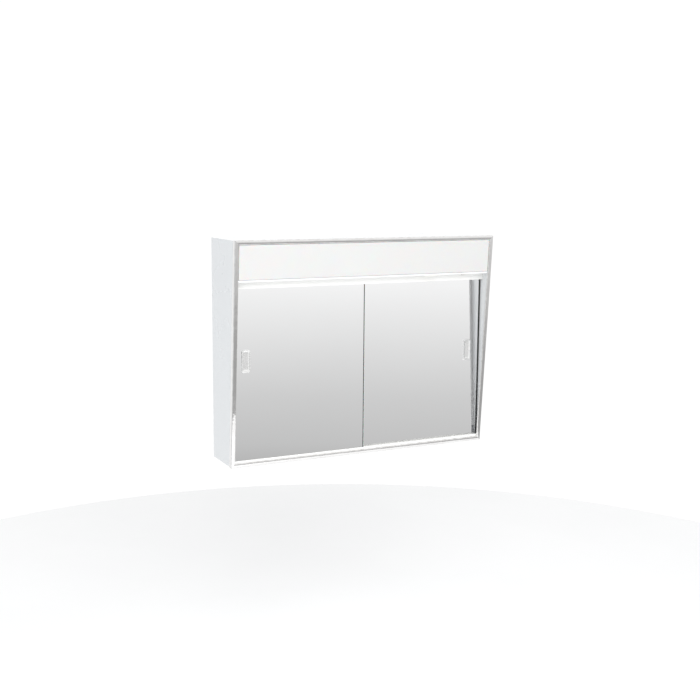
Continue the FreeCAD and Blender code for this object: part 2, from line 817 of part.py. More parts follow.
# ---------------------------------------------------------------- switch and outlet
def snap_in_body(name, edge, drop):
    """Moulded body that snaps up through the canopy, with a bezel below it."""
    middle = (f"{name}_across", "-canopy_middle")
    body = new_body(f"{name}_body")
    bezel = centred(*middle, f"{name}_length + 2 * {edge}", f"{name}_width + 2 * {edge}")
    add_pad(body, "XY_Plane", bezel, f"floor_under - {drop}", drop)
    shank = centred(*middle, f"{name}_length", f"{name}_width")
    add_pad(body, "XY_Plane", shank, "floor_under", f"{name}_body_rise")
    return body


def rocker_switch():
    body = snap_in_body("switch", "bezel_edge", "bezel_drop")
    well = centred("switch_across", "-canopy_middle", "rocker_well_length", "rocker_well_width")
    add_pocket(body, "XY_Plane", [well], [], "floor_under - bezel_drop", "rocker_well_depth")
    pivot = "floor_under - bezel_drop + rocker_pivot_rise"
    bearing = ("switch_across", pivot, "rocker_pin + rocker_pin_gap")
    add_pocket(body, "XZ_Plane", [], [bearing], "canopy_middle - switch_width", "2 * switch_width")
    keep(body, "switch_body")

    rocker = new_body("switch_rocker")
    width = "(rocker_well_width - 2 * rocker_side_gap)"
    outline = [("-rocker_half", "-rocker_end"), ("0", "-rocker_waist"),
               ("rocker_half", "-rocker_end"), ("rocker_back_half", "rocker_back"),
               ("-rocker_back_half", "rocker_back")]
    add_pad(rocker, "XZ_Plane", outline, f"-{width} / 2", width)
    pin = new_sketch(rocker, "XZ_Plane", "-switch_width / 2")
    draw_circle(pin, "0", "0", "rocker_pin")
    pin_pad = rocker.newObject("PartDesign::Pad", "rocker_pins")
    pin_pad.Profile = pin
    bind(pin_pad, "Length", "switch_width")
    rocker.Tip = pin_pad
    tilt = Rotation(Vector(0, 1, 0), -sheet.rocker_tilt)
    keep(set_place(rocker, ("switch_across", "-canopy_middle", pivot), tilt), "switch_rocker")


def outlet():
    body = snap_in_body("outlet", "outlet_edge", "outlet_drop")
    slots = [centred("outlet_across + blade_shift", f"-canopy_middle + {side} * blade_spacing / 2",
                     "blade_long", "blade_thin") for side in (-1, 1)]
    earth = ("outlet_across + blade_shift - earth_shift", "-canopy_middle", "earth_radius")
    face = "floor_under - outlet_drop"
    add_pocket(body, "XY_Plane", slots, [earth], face, "socket_depth")
    keep(body, "outlet_body")
    contacts = []
    for side in (-1, 1):
        blade = centred("outlet_across + blade_shift",
                        f"-canopy_middle + {side} * (blade_spacing + blade_thin - contact_steel) / 2",
                        "blade_long", "contact_steel")
        contact = new_body("blade_contact")
        add_pad(contact, "XY_Plane", blade, f"{face} + socket_depth / 2", "socket_depth / 2")
        contacts.append(contact)
    place = (earth[0], earth[1], f"{face} + socket_depth * 0.75")
    contacts.append(cylinder("earth_contact", "earth_radius - contact_steel", "socket_depth / 4", place))
    group("outlet_contacts", contacts)


# ---------------------------------------------------------------- wiring
def route(label, stops):
    """Corner points of a lead, each a vertex held by its own formulas."""
    corners = []
    for stop in stops:
        corner = doc.addObject("Part::Vertex", f"{label}_corner")
        for axis, text in zip("XYZ", stop):
            bind(corner, axis, text)
        corners.append(corner)
    doc.recompute()
    return [corner.Shape.Vertexes[0].Point for corner in corners]


def lead(label, stops):
    """Round lead along straight runs joined by tangent arcs."""
    points = route(label, stops)
    bend = 2 * sheet.lead_radius
    edges = []
    start = points[0]
    for before, corner, after in zip(points, points[1:], points[2:]):
        arriving = (corner - before).normalize()
        leaving = (after - corner).normalize()
        half_turn = arriving.getAngle(leaving) / 2
        setback = bend * math.tan(half_turn)
        enter, leave = corner - arriving * setback, corner + leaving * setback
        towards = (leaving - arriving).normalize()
        middle = corner + towards * (bend / math.cos(half_turn) - bend)
        edges.append(Part.LineSegment(start, enter).toShape())
        edges.append(Part.Arc(enter, middle, leave).toShape())
        start = leave
    edges.append(Part.LineSegment(start, points[-1]).toShape())
    circle = Part.Circle(points[0], points[1] - points[0], sheet.lead_radius)
    thing = doc.addObject("Part::Feature", label)
    thing.Shape = Part.Wire(edges).makePipeShell([Part.Wire(circle.toShape())], True, False)
    keep(thing, label)


def wiring():
    """Leads behind the reflector and along the compartment floor, and their splices."""
    rows = {"left_lamp": "-lead_middle", "right_lamp": "-lead_middle + lead_pitch",
            "switch": "-lead_middle", "outlet": "-lead_middle - lead_pitch"}
    for name, side in SIDES:
        row = rows[f"{name}_lamp"]
        outside = f"{side} * lead_end_across"
        lead(f"{name}_lamp_lead", [
            (f"{side} * splice_across", row, "lead_height"), (outside, row, "lead_height"),
            (outside, "-lamp_depth", "lead_height"), (outside, "-lamp_depth", "lamp_height"),
            (f"{side} * lamp_root", "-lamp_depth", "lamp_height")])
    for name in ("switch", "outlet"):
        across, back = f"{name}_across", f"-canopy_middle + {name}_width / 2"
        lead(f"{name}_lead", [(across, back, "lead_height"), (across, rows[name], "lead_height"),
                              ("splice_across", rows[name], "lead_height")])
    nuts = []
    for name, row in rows.items():
        side = -1 if name == "left_lamp" else 1
        nut = doc.addObject("Part::Cone", "wire_nut")
        bind(nut, "Radius1", "nut_radius")
        bind(nut, "Radius2", "nut_tip_radius")
        bind(nut, "Height", "nut_length")
        turn = Rotation(Vector(0, 1, 0), -90 * side)
        nuts.append(set_place(nut, (f"{side} * splice_across", row, "lead_height"), turn))
    group("wire_nuts", nuts)


def earth_screw():
    place = ("earth_screw_across", "-steel", "lamp_height")
    keep(cylinder("earth_screw", "screw_head_radius", "screw_head", place, FORWARDS), "earth_screw")


# ---------------------------------------------------------------- build
side_panels()
folded_panel("top_panel", "shell_top", "bay_top", "shell_top - flange", "shell_top - flange")
folded_panel("bottom_panel", "shell_bottom", "bay_bottom", "shell_bottom + flange", "shell_bottom")
back_panel()
trim_rails()
trim_stiles()
corner_keys()
tracks()
track_rivets()
door("left", -1, "front_channel", "left_pull_rise")
door("right", 1, "rear_channel", "right_pull_rise")
shelves()
shelf_ledges()
light_box_floor()
lamp_reflector()
diffuser()
diffuser_clips()
for lamp_name, lamp_side in SIDES:
    lamp(lamp_name, lamp_side)
lampholder_screws()
rocker_switch()
outlet()
wiring()
earth_screw()
doc.recompute()

# ---------------------------------------------------------------- check and write
for thing in doc.Objects:
    if "Invalid" in thing.State or "Error" in thing.State:
        raise ValueError(f"{thing.Label} did not build: {thing.State}")
os.makedirs("parts", exist_ok=True)
for piece in pieces:
    if piece.Shape.isNull() or not piece.Shape.isValid() or not piece.Shape.Solids:
        raise ValueError(f"{piece.Label} has no valid solid")
    piece.Shape.exportStep(f"parts/{piece.Label}.step")
print(len(pieces), "sub-parts written")
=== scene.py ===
import json
import math

import bmesh
import bpy
from mathutils import Matrix, Vector

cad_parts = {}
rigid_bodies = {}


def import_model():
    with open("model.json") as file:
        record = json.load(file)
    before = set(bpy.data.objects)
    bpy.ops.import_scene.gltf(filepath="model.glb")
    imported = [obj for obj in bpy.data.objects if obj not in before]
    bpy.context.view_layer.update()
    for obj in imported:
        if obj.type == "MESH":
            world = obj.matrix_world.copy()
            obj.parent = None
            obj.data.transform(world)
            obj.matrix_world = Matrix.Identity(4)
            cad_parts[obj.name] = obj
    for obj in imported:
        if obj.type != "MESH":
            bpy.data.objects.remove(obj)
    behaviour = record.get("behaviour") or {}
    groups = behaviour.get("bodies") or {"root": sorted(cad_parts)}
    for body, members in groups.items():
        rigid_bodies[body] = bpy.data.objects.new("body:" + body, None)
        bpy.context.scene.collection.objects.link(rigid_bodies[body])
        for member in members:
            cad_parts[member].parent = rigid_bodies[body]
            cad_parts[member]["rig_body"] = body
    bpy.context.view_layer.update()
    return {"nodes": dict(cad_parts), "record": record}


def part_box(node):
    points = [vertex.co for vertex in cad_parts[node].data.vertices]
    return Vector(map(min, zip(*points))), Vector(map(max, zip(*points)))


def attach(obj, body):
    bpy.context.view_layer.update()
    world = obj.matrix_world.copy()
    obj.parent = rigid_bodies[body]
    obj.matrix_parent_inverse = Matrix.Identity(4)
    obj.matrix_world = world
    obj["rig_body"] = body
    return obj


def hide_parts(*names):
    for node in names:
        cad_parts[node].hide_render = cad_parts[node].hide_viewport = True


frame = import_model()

SLOT_OF = {row["node"]: row["material_slot"] for row in frame["record"]["subparts"]}
MM = 0.001
MERGE = 0.001 * MM

# ------------------------------------------------------------------ main lines of the cabinet
top_low, top_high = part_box("frame_top_rail")
bottom_low, bottom_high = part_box("frame_bottom_rail")
HALF_WIDTH = top_high.x
TOP = top_high.z
BOTTOM = bottom_low.z
FRONT_TOP = top_low.y
TRIM_FACE = top_high.z - top_low.z
TRIM_LEG = top_high.y - top_low.y
FRONT_BOTTOM = bottom_high.y - TRIM_LEG
TRIM_STEEL = 0.7 * MM
TRIM_HEM = 2.5 * MM
TRIM_OUTER_BEND = 1.2 * MM
TRIM_INNER_BEND = 1.8 * MM
TRIM_CROWN = 0.4 * MM
MITRE_GAP = 0.06 * MM


def front(height):
    """Y of the leaning front at a height."""
    share = (height - BOTTOM) / (TOP - BOTTOM)
    return FRONT_BOTTOM + (FRONT_TOP - FRONT_BOTTOM) * share


# ------------------------------------------------------------------ node helpers
def feed(tree, socket, value):
    """Set a socket to a plain value, or link another socket to it."""
    if isinstance(value, bpy.types.NodeSocket):
        tree.links.new(value, socket)
    else:
        socket.default_value = value


def place(tree, kind, options=(), **inputs):
    """Add a node with its options, and feed the inputs named by their labels."""
    made = tree.nodes.new(kind)
    for option, value in dict(options).items():
        setattr(made, option, value)
    for label, value in inputs.items():
        feed(tree, made.inputs[label.replace("_", " ")], value)
    return made


def calculate(tree, operation, first, second=0.0, clamp=False):
    made = place(tree, "ShaderNodeMath", {"operation": operation, "use_clamp": clamp})
    feed(tree, made.inputs[0], first)
    feed(tree, made.inputs[1], second)
    return made.outputs[0]


def rescale(tree, value, low, high, new_low=0.0, new_high=1.0):
    made = place(tree, "ShaderNodeMapRange", {"interpolation_type": "SMOOTHSTEP"}, Value=value)
    for label, number in (("From Min", low), ("From Max", high),
                          ("To Min", new_low), ("To Max", new_high)):
        feed(tree, made.inputs[label], number)
    return made.outputs["Result"]


def blend_colours(tree, share, first, second):
    made = place(tree, "ShaderNodeMix", {"data_type": "RGBA"})
    feed(tree, made.inputs["Factor"], share)
    colour_sockets = [s for s in made.inputs if s.type == "RGBA"]
    feed(tree, colour_sockets[0], first)
    feed(tree, colour_sockets[1], second)
    return next(s for s in made.outputs if s.type == "RGBA")


def place_noise(tree, vector, scale, detail=3.0):
    made = place(tree, "ShaderNodeTexNoise", {"noise_dimensions": "3D"}, Detail=detail)
    feed(tree, made.inputs["Scale"], scale)
    feed(tree, made.inputs["Vector"], vector)
    return made.outputs["Fac"]


def new_group(name, inputs, outputs):
    """Empty shader group with named sockets, and its two end nodes."""
    group = bpy.data.node_groups.new(name, "ShaderNodeTree")
    for label, kind, value in inputs:
        socket = group.interface.new_socket(label, in_out="INPUT", socket_type=kind)
        socket.default_value = value
    for label in outputs:
        group.interface.new_socket(label, in_out="OUTPUT", socket_type="NodeSocketFloat")
    start = group.nodes.new("NodeGroupInput")
    end = group.nodes.new("NodeGroupOutput")
    return group, start, end


NUMBER = "NodeSocketFloat"
TRIPLE = "NodeSocketVector"
# the coarser texture under the grain, as shares of the fine one's scale and height
COARSE_SCALE = 0.22
COARSE_HEIGHT = 1.6
# how much finer the streaks inside a smear are than the smear
STREAK_FINENESS = 26.0
DUST_COLOUR = (0.62, 0.60, 0.57, 1.0)


def own_place(group):
    """The piece's own coordinates."""
    return place(group, "ShaderNodeTexCoord").outputs["Object"]


def stretched_place(group, start):
    """The piece's own coordinates, stretched by the group's Stretch input."""
    stretched = place(group, "ShaderNodeVectorMath", {"operation": "MULTIPLY"})
    feed(group, stretched.inputs[0], own_place(group))
    feed(group, stretched.inputs[1], start.outputs["Stretch"])
    return stretched.outputs[0]


def put_out_mask(group, start, end, mask):
    """Scale a mask by the group's Amount and send it out."""
    amount = start.outputs["Amount"]
    feed(group, end.inputs["Mask"], calculate(group, "MULTIPLY", mask, amount, True))


def make_mottle():
    """Slow patchy change over a surface, from 0 to 1."""
    group, start, end = new_group(
        "mottle", [("Scale", NUMBER, 12.0), ("Stretch", TRIPLE, (1.0, 1.0, 1.0))], ["Value"])
    broad = place_noise(group, stretched_place(group, start), start.outputs["Scale"], 4.0)
    feed(group, end.inputs["Value"], rescale(group, broad, 0.32, 0.68))
    return group


def make_grain():
    """Height of a fine surface texture laid over a coarser one."""
    group, start, end = new_group(
        "grain", [("Scale", NUMBER, 900.0), ("Stretch", TRIPLE, (1.0, 1.0, 1.0))], ["Height"])
    spot = stretched_place(group, start)
    fine = place_noise(group, spot, start.outputs["Scale"], 2.0)
    coarse_scale = calculate(group, "MULTIPLY", start.outputs["Scale"], COARSE_SCALE)
    coarse = place_noise(group, spot, coarse_scale, 1.0)
    coarse_height = calculate(group, "MULTIPLY", coarse, COARSE_HEIGHT)
    feed(group, end.inputs["Height"], calculate(group, "ADD", fine, coarse_height))
    return group


def make_edge_wear():
    """Worn share of the rounded edges, broken up along their length."""
    group, start, end = new_group(
        "edge_wear", [("Scale", NUMBER, 90.0), ("Amount", NUMBER, 0.5)], ["Mask"])
    band = place(group, "ShaderNodeAttribute", {"attribute_name": "edge"}).outputs["Fac"]
    spot = own_place(group)
    patches = rescale(group, place_noise(group, spot, start.outputs["Scale"], 4.0), 0.42, 0.62)
    worn = calculate(group, "MULTIPLY", band, patches)
    put_out_mask(group, start, end, worn)
    return group


def make_dust():
    """Fine dust that lies on what faces up."""
    group, start, end = new_group(
        "dust", [("Scale", NUMBER, 60.0), ("Amount", NUMBER, 0.3)], ["Mask"])
    normal = place(group, "ShaderNodeNewGeometry").outputs["Normal"]
    up = place(group, "ShaderNodeSeparateXYZ", Vector=normal).outputs["Z"]
    facing = rescale(group, up, 0.35, 0.95)
    spot = own_place(group)
    drift = rescale(group, place_noise(group, spot, start.outputs["Scale"], 6.0), 0.3, 0.75)
    lying = calculate(group, "MULTIPLY", facing, drift)
    put_out_mask(group, start, end, lying)
    return group


def make_touch_marks():
    """Sparse soft smears left by hands and cloths."""
    group, start, end = new_group(
        "touch_marks", [("Scale", NUMBER, 14.0), ("Amount", NUMBER, 1.0)], ["Mask"])
    spot = own_place(group)
    smear = rescale(group, place_noise(group, spot, start.outputs["Scale"], 2.0), 0.52, 0.74)
    fine_scale = calculate(group, "MULTIPLY", start.outputs["Scale"], STREAK_FINENESS)
    streak = rescale(group, place_noise(group, spot, fine_scale, 3.0), 0.35, 0.65, 0.4, 1.0)
    marked = calculate(group, "MULTIPLY", smear, streak)
    put_out_mask(group, start, end, marked)
    return group


MOTTLE = make_mottle()
GRAIN = make_grain()
EDGE_WEAR = make_edge_wear()
DUST = make_dust()
TOUCH_MARKS = make_touch_marks()


def use_group(tree, group, **inputs):
    made = tree.nodes.new("ShaderNodeGroup")
    made.node_tree = group
    for label, value in inputs.items():
        feed(tree, made.inputs[label], value)
    return made.outputs[0]


# ------------------------------------------------------------------ materials
def finish(name, colour, shade, rough, patches=12.0, grain=(900.0, 4e-6), stretch=(1.0, 1.0, 1.0),
           worn=None, wear=0.0, dust=0.12, marks=0.0, waves=None, **plain):
    """A surface finish: two close colours in patches, worn edges, dust, marks and grain."""
    material = bpy.data.materials.new(name)
    material.use_nodes = True
    tree = material.node_tree
    shader = tree.nodes["Principled BSDF"]
    patchy = use_group(tree, MOTTLE, Scale=patches, Stretch=stretch)
    paint = blend_colours(tree, patchy, (*colour, 1.0), (*shade, 1.0))
    if worn:
        mask = use_group(tree, EDGE_WEAR, Amount=wear)
        paint = blend_colours(tree, mask, paint, (*worn, 1.0))
    roughness = rescale(tree, patchy, 0.0, 1.0, *rough)
    if marks:
        smears = use_group(tree, TOUCH_MARKS, Amount=marks)
        roughness = calculate(tree, "ADD", roughness, smears, True)
    if dust:
        lying = use_group(tree, DUST, Amount=dust)
        paint = blend_colours(tree, lying, paint, DUST_COLOUR)
        roughness = calculate(tree, "ADD", roughness, lying, True)
    feed(tree, shader.inputs["Base Color"], paint)
    feed(tree, shader.inputs["Roughness"], roughness)
    height = use_group(tree, GRAIN, Scale=grain[0], Stretch=stretch)
    bump = place(tree, "ShaderNodeBump", Strength=1.0, Distance=grain[1], Height=height)
    if waves:
        swell = use_group(tree, MOTTLE, Scale=waves[0], Stretch=stretch)
        rolled = place(tree, "ShaderNodeBump", Strength=1.0, Distance=waves[1], Height=swell)
        feed(tree, bump.inputs["Normal"], rolled.outputs["Normal"])
    feed(tree, shader.inputs["Normal"], bump.outputs["Normal"])
    for label, value in plain.items():
        shader.inputs[label.replace("_", " ")].default_value = value
    return material


METAL = {"Metallic": 1.0}
FINISHES = {
    "white_enamel": finish(
        "white_enamel", (0.845, 0.86, 0.87), (0.837, 0.852, 0.862), (0.27, 0.30), 3.0,
        (150.0, 8e-6), worn=(0.55, 0.54, 0.52), wear=0.5, dust=0.05, marks=0.04,
        Coat_Weight=0.35, Coat_Roughness=0.12),
    "bright_trim": finish(
        "bright_trim", (0.84, 0.835, 0.83), (0.80, 0.79, 0.785), (0.045, 0.09), 26.0,
        (700.0, 4e-7), worn=(0.5, 0.48, 0.46), wear=0.35, dust=0.06, marks=0.05,
        waves=(16.0, 1.5e-4), **METAL),
    "mirror_back": finish(
        "mirror_back", (0.23, 0.24, 0.25), (0.19, 0.20, 0.21), (0.55, 0.7), 30.0,
        (1300.0, 8e-6)),
    "black_vinyl": finish(
        "black_vinyl", (0.018, 0.018, 0.019), (0.03, 0.03, 0.03), (0.38, 0.55), 40.0,
        (1600.0, 6e-6), worn=(0.08, 0.08, 0.08), wear=0.6),
    "white_vinyl": finish(
        "white_vinyl", (0.93, 0.93, 0.915), (0.915, 0.915, 0.90), (0.34, 0.46), 18.0,
        (1200.0, 5e-6), (0.05, 1.0, 1.0), worn=(0.66, 0.65, 0.62), wear=0.5),
    "nylon": finish(
        "nylon", (0.78, 0.77, 0.72), (0.72, 0.71, 0.66), (0.36, 0.5), 60.0, (1500.0, 5e-6),
        worn=(0.5, 0.49, 0.45), wear=0.7, Subsurface_Weight=0.15, Subsurface_Scale=0.001),
    "plated_pull": finish(
        "plated_pull", (0.88, 0.88, 0.875), (0.86, 0.86, 0.855), (0.22, 0.3), 70.0,
        (1100.0, 3e-6), worn=(0.42, 0.39, 0.35), wear=0.5, marks=0.12, **METAL),
    "diffuser_acrylic": finish(
        "diffuser_acrylic", (0.655, 0.656, 0.652), (0.652, 0.653, 0.647), (0.28, 0.295), 2.5,
        (120.0, 6e-6), worn=(0.78, 0.78, 0.77), wear=0.4, dust=0.2,
        Subsurface_Weight=0.3, Subsurface_Scale=0.004),
    "reflector_white": finish(
        "reflector_white", (0.86, 0.86, 0.85), (0.82, 0.82, 0.80), (0.3, 0.42), 10.0,
        (500.0, 1.0e-5), worn=(0.5, 0.5, 0.5), wear=0.5, dust=0.25),
    "spring_steel": finish(
        "spring_steel", (0.50, 0.50, 0.51), (0.40, 0.40, 0.42), (0.25, 0.4), 50.0,
        (1400.0, 3e-6), worn=(0.62, 0.62, 0.63), wear=0.6, **METAL),
    "zinc_steel": finish(
        "zinc_steel", (0.62, 0.63, 0.65), (0.48, 0.49, 0.51), (0.28, 0.5), 160.0,
        (1800.0, 4e-6), worn=(0.7, 0.7, 0.72), wear=0.6, **METAL),
    "porcelain": finish(
        "porcelain", (0.86, 0.855, 0.84), (0.82, 0.815, 0.79), (0.10, 0.2), 24.0,
        (500.0, 6e-6), Coat_Weight=0.6, Coat_Roughness=0.05),
    "brass": finish(
        "brass", (0.78, 0.60, 0.30), (0.58, 0.42, 0.2), (0.22, 0.42), 80.0, (1500.0, 3e-6),
        worn=(0.85, 0.7, 0.42), wear=0.6, **METAL),
    "lamp_aluminium": finish(
        "lamp_aluminium", (0.76, 0.76, 0.77), (0.64, 0.64, 0.66), (0.22, 0.4), 90.0,
        (1500.0, 3e-6), **METAL),
    "frosted_glass": finish(
        "frosted_glass", (0.93, 0.93, 0.91), (0.90, 0.90, 0.88), (0.32, 0.42), 20.0,
        (1400.0, 4e-6), dust=0.15, Subsurface_Weight=0.4, Subsurface_Scale=0.003),
    "switch_plastic": finish(
        "switch_plastic", (0.80, 0.80, 0.77), (0.77, 0.77, 0.73), (0.26, 0.38), 60.0,
        (1300.0, 5e-6), worn=(0.62, 0.61, 0.57), wear=0.5, marks=0.08),
    "outlet_plastic": finish(
        "outlet_plastic", (0.82, 0.82, 0.79), (0.79, 0.79, 0.75), (0.26, 0.38), 50.0,
        (1300.0, 5e-6), worn=(0.64, 0.63, 0.59), wear=0.5),
    "lead_insulation": finish(
        "lead_insulation", (0.74, 0.73, 0.69), (0.68, 0.67, 0.62), (0.36, 0.5), 80.0,
        (1500.0, 5e-6)),
    "wire_nut_plastic": finish(
        "wire_nut_plastic", (0.80, 0.36, 0.05), (0.70, 0.30, 0.04), (0.3, 0.45), 120.0,
        (1600.0, 5e-6), worn=(0.86, 0.5, 0.2), wear=0.5),
    "green_screw": finish(
        "green_screw", (0.08, 0.34, 0.13), (0.06, 0.27, 0.10), (0.25, 0.4), 200.0,
        (2000.0, 4e-6), worn=(0.5, 0.52, 0.5), wear=0.7),
}


def make_silvering():
    """Silvered glass: a near perfect reflector under a thin clear face, faintly smeared."""
    return finish(
        "mirror_silvering", (0.93, 0.932, 0.934), (0.92, 0.922, 0.924), (0.006, 0.014), 5.0,
        (60.0, 2e-8), dust=0.0, marks=0.03, Metallic=1.0, Coat_Weight=0.25,
        Coat_Roughness=0.01)


def make_edge_shadow():
    """Dark border painted round the silvered face: painted shade standing in for the shadow and
    dark reflection along the pane's edges.
    """
    return finish(
        "mirror_edge_shadow", (0.03, 0.031, 0.031), (0.06, 0.061, 0.06), (0.12, 0.3), 150.0,
        (900.0, 2e-6), dust=0.0, Coat_Weight=0.2, Coat_Roughness=0.05)


def make_glass_edge():
    """Seamed edge of float glass: ground, pale green and a little dull."""
    return finish(
        "mirror_glass_edge", (0.80, 0.87, 0.84), (0.72, 0.80, 0.77), (0.25, 0.45), 120.0,
        (1600.0, 8e-6), dust=0.1, Subsurface_Weight=0.2, Subsurface_Scale=0.002)


SILVERING = make_silvering()
EDGE_SHADOW = make_edge_shadow()
GLASS_EDGE = make_glass_edge()


# ------------------------------------------------------------------ mesh helpers
def to_object(mesh_in_progress, name, materials, smooth_angle=38.0):
    """Turn a bmesh into an object with smooth shading that breaks at sharp edges."""
    mesh = bpy.data.meshes.new(name)
    mesh_in_progress.to_mesh(mesh)
    mesh_in_progress.free()
    for material in materials:
        mesh.materials.append(material)
    mesh.polygons.foreach_set("use_smooth", [True] * len(mesh.polygons))
    mesh.set_sharp_from_angle(angle=math.radians(smooth_angle))
    thing = bpy.data.objects.new(name, mesh)
    bpy.context.scene.collection.objects.link(thing)
    return thing


def settle(thing):
    """Take the result of an object's modifiers as its plain mesh."""
    graph = bpy.context.evaluated_depsgraph_get()
    mesh = bpy.data.meshes.new_from_object(
        thing.evaluated_get(graph), preserve_all_data_layers=True, depsgraph=graph)
    mesh.name = thing.name
    thing.modifiers.clear()
    thing.data = mesh
    return thing


def even_shading(thing):
    """Weigh the normals by area, so that wide faces stay flat beside small rounded edges."""
    weighted = thing.modifiers.new("even_shading", "WEIGHTED_NORMAL")
    weighted.keep_sharp = True
    return settle(thing)


def stand_for(thing, *nodes):
    """Put a finished piece in the place of the plain ones it stands for."""
    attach(thing, frame["nodes"][nodes[0]]["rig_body"])
    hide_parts(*nodes)
    return thing


def clean_copy(node):
    """The plain piece's mesh with its corners joined and its flat faces whole."""
    work = bmesh.new()
    work.from_mesh(frame["nodes"][node].data)
    bmesh.ops.remove_doubles(work, verts=work.verts, dist=MERGE)
    bmesh.ops.dissolve_limit(work, angle_limit=math.radians(0.6), verts=work.verts,
                             edges=work.edges)
    return work


def round_off(work, width, segments=2, least_turn=30.0):
    """Round the sharp edges and mark the rounded bands, which wear first."""
    turn = math.radians(least_turn)
    band = work.faces.layers.float.new("edge")
    sharp = [edge for edge in work.edges if edge.is_manifold and edge.calc_face_angle() > turn]
    made = bmesh.ops.bevel(work, geom=sharp, offset=width, offset_type="OFFSET",
                           segments=segments, profile=0.5, affect="EDGES", clamp_overlap=True)
    for face in made["faces"]:
        face[band] = 1.0


def softened(node, width, segments=2):
    """A piece with the plain one's shape and softly rounded edges."""
    work = clean_copy(node)
    round_off(work, width, segments)
    thing = to_object(work, f"{node}_finished", [FINISHES[SLOT_OF[node]]])
    return stand_for(even_shading(thing), node)


def rounded(corners, radii, steps=5):
    """Corner points of an open or closed outline with some corners turned into arcs."""
    outline = []
    count = len(corners)
    for i, corner in enumerate(corners):
        radius = radii[i]
        if not radius:
            outline.append(Vector(corner))
            continue
        here = Vector(corner)
        back = (Vector(corners[i - 1]) - here).normalized()
        ahead = (Vector(corners[(i + 1) % count]) - here).normalized()
        half_angle = back.angle(ahead) / 2
        reach = radius / math.tan(half_angle)
        centre = here + (back + ahead).normalized() * (radius / math.sin(half_angle))
        start = (here + back * reach - centre).normalized()
        end = (here + ahead * reach - centre).normalized()
        for step in range(steps + 1):
            outline.append(centre + start.slerp(end, step / steps) * radius)
    return outline


def bridge_rings(work, rings):
    """Skin between rings of the same number of points."""
    for near, far in zip(rings, rings[1:]):
        count = len(near)
        for i in range(count):
            j = (i + 1) % count
            work.faces.new((near[i], near[j], far[j], far[i]))


def close_ends(work, first, last):
    """Cap both ends of a skin and turn its faces outwards."""
    work.faces.new(first)
    work.faces.new(last)
    bmesh.ops.recalc_face_normals(work, faces=work.faces)


def square_axes(along):
    """An axis and two directions square to it."""
    direction = Vector(along).normalized()
    across = direction.orthogonal().normalized()
    return direction, across, direction.cross(across)


def turn_angles(sides):
    return [2 * math.pi * i / sides for i in range(sides)]


# ------------------------------------------------------------------ rolled trim frame
# how far across the crowned face each corner of the section is, and its bend
TRIM_STATIONS = ((0.0, TRIM_OUTER_BEND), (0.2, 0), (0.35, 0), (0.5, 0), (0.65, 0), (0.78, 0),
                 (1.0, TRIM_INNER_BEND))


def trim_section():
    """Rolled channel seen on end: (inwards from the outer edge, back from the face)."""
    steel, face, leg, hem = TRIM_STEEL, TRIM_FACE, TRIM_LEG, TRIM_HEM
    corners = [(0, leg)]
    radii = [0]
    for across, bend in TRIM_STATIONS:
        corners.append((face * across, TRIM_CROWN * (2 * across - 1) ** 2))
        radii.append(bend)
    back = steel + TRIM_CROWN
    corners += [(face, hem), (face - steel, hem), (face - steel, back), (steel, back), (steel, leg)]
    radii += [0.2 * MM, 0.2 * MM, TRIM_INNER_BEND - steel, TRIM_OUTER_BEND - steel, 0]
    return rounded(corners, radii)


def trim_corner(section, side, end, shift_across, shift_up):
    """The section's points on the mitre at one corner of the frame."""
    points = []
    for inwards, back in section:
        edge = TOP if end > 0 else BOTTOM
        height = edge - end * inwards + shift_up
        points.append((side * (HALF_WIDTH - inwards) + shift_across, front(height) + back, height))
    return points


def trim_piece(node, first, second):
    """One rail or stile between two corners of the frame, cut square to the mitres."""
    work = bmesh.new()
    section = trim_section()
    run = Vector((second[0] - first[0], second[1] - first[1])).normalized() * MITRE_GAP
    rings = []
    for (side, end), shift in ((first, run), (second, -run)):
        points = trim_corner(section, side, end, shift.x, shift.y)
        rings.append([work.verts.new(point) for point in points])
    bridge_rings(work, rings)
    close_ends(work, *rings)
    band = work.faces.layers.float.new("edge")
    for face in work.faces:
        face[band] = 1.0 if face.calc_area() < 0.8 * MM * (TOP - BOTTOM) else 0.0
    thing = to_object(work, f"{node}_finished", [FINISHES["bright_trim"]], 50.0)
    return stand_for(even_shading(thing), node)


def trim_frame():
    trim_piece("frame_top_rail", (-1, 1), (1, 1))
    trim_piece("frame_bottom_rail", (-1, -1), (1, -1))
    trim_piece("frame_left_stile", (-1, -1), (-1, 1))
    trim_piece("frame_right_stile", (1, -1), (1, 1))


# ------------------------------------------------------------------ mirrors and pulls
PANE_MATERIALS = [SILVERING, GLASS_EDGE, EDGE_SHADOW]
SILVER_PLACE, EDGE_PLACE, SHADOW_PLACE = range(3)
PANE_SEAM = 0.8 * MM
SHADOW_WIDTH = 3.2 * MM


def mirror_pane(node):
    """Float glass pane: silvered face, a painted dark border of shade round it, seamed edges."""
    work = clean_copy(node)
    round_off(work, PANE_SEAM, 2)
    for face in work.faces:
        face.material_index = EDGE_PLACE
    silvered = max(work.faces, key=lambda face: -face.normal.y * face.calc_area())
    # the inset ring carries the painted dark shade border
    border = bmesh.ops.inset_region(work, faces=[silvered], thickness=SHADOW_WIDTH)
    for face in border["faces"]:
        face.material_index = SHADOW_PLACE
    silvered.material_index = SILVER_PLACE
    thing = to_object(work, f"{node}_finished", PANE_MATERIALS)
    return stand_for(even_shading(thing), node)


def rounded_rectangle(half_across, half_up, radius, steps=8):
    """Points round a rectangle with rounded corners, in order."""
    corners = [(-half_across, -half_up), (half_across, -half_up), (half_across, half_up),
               (-half_across, half_up)]
    return rounded(corners, [radius] * 4, steps)


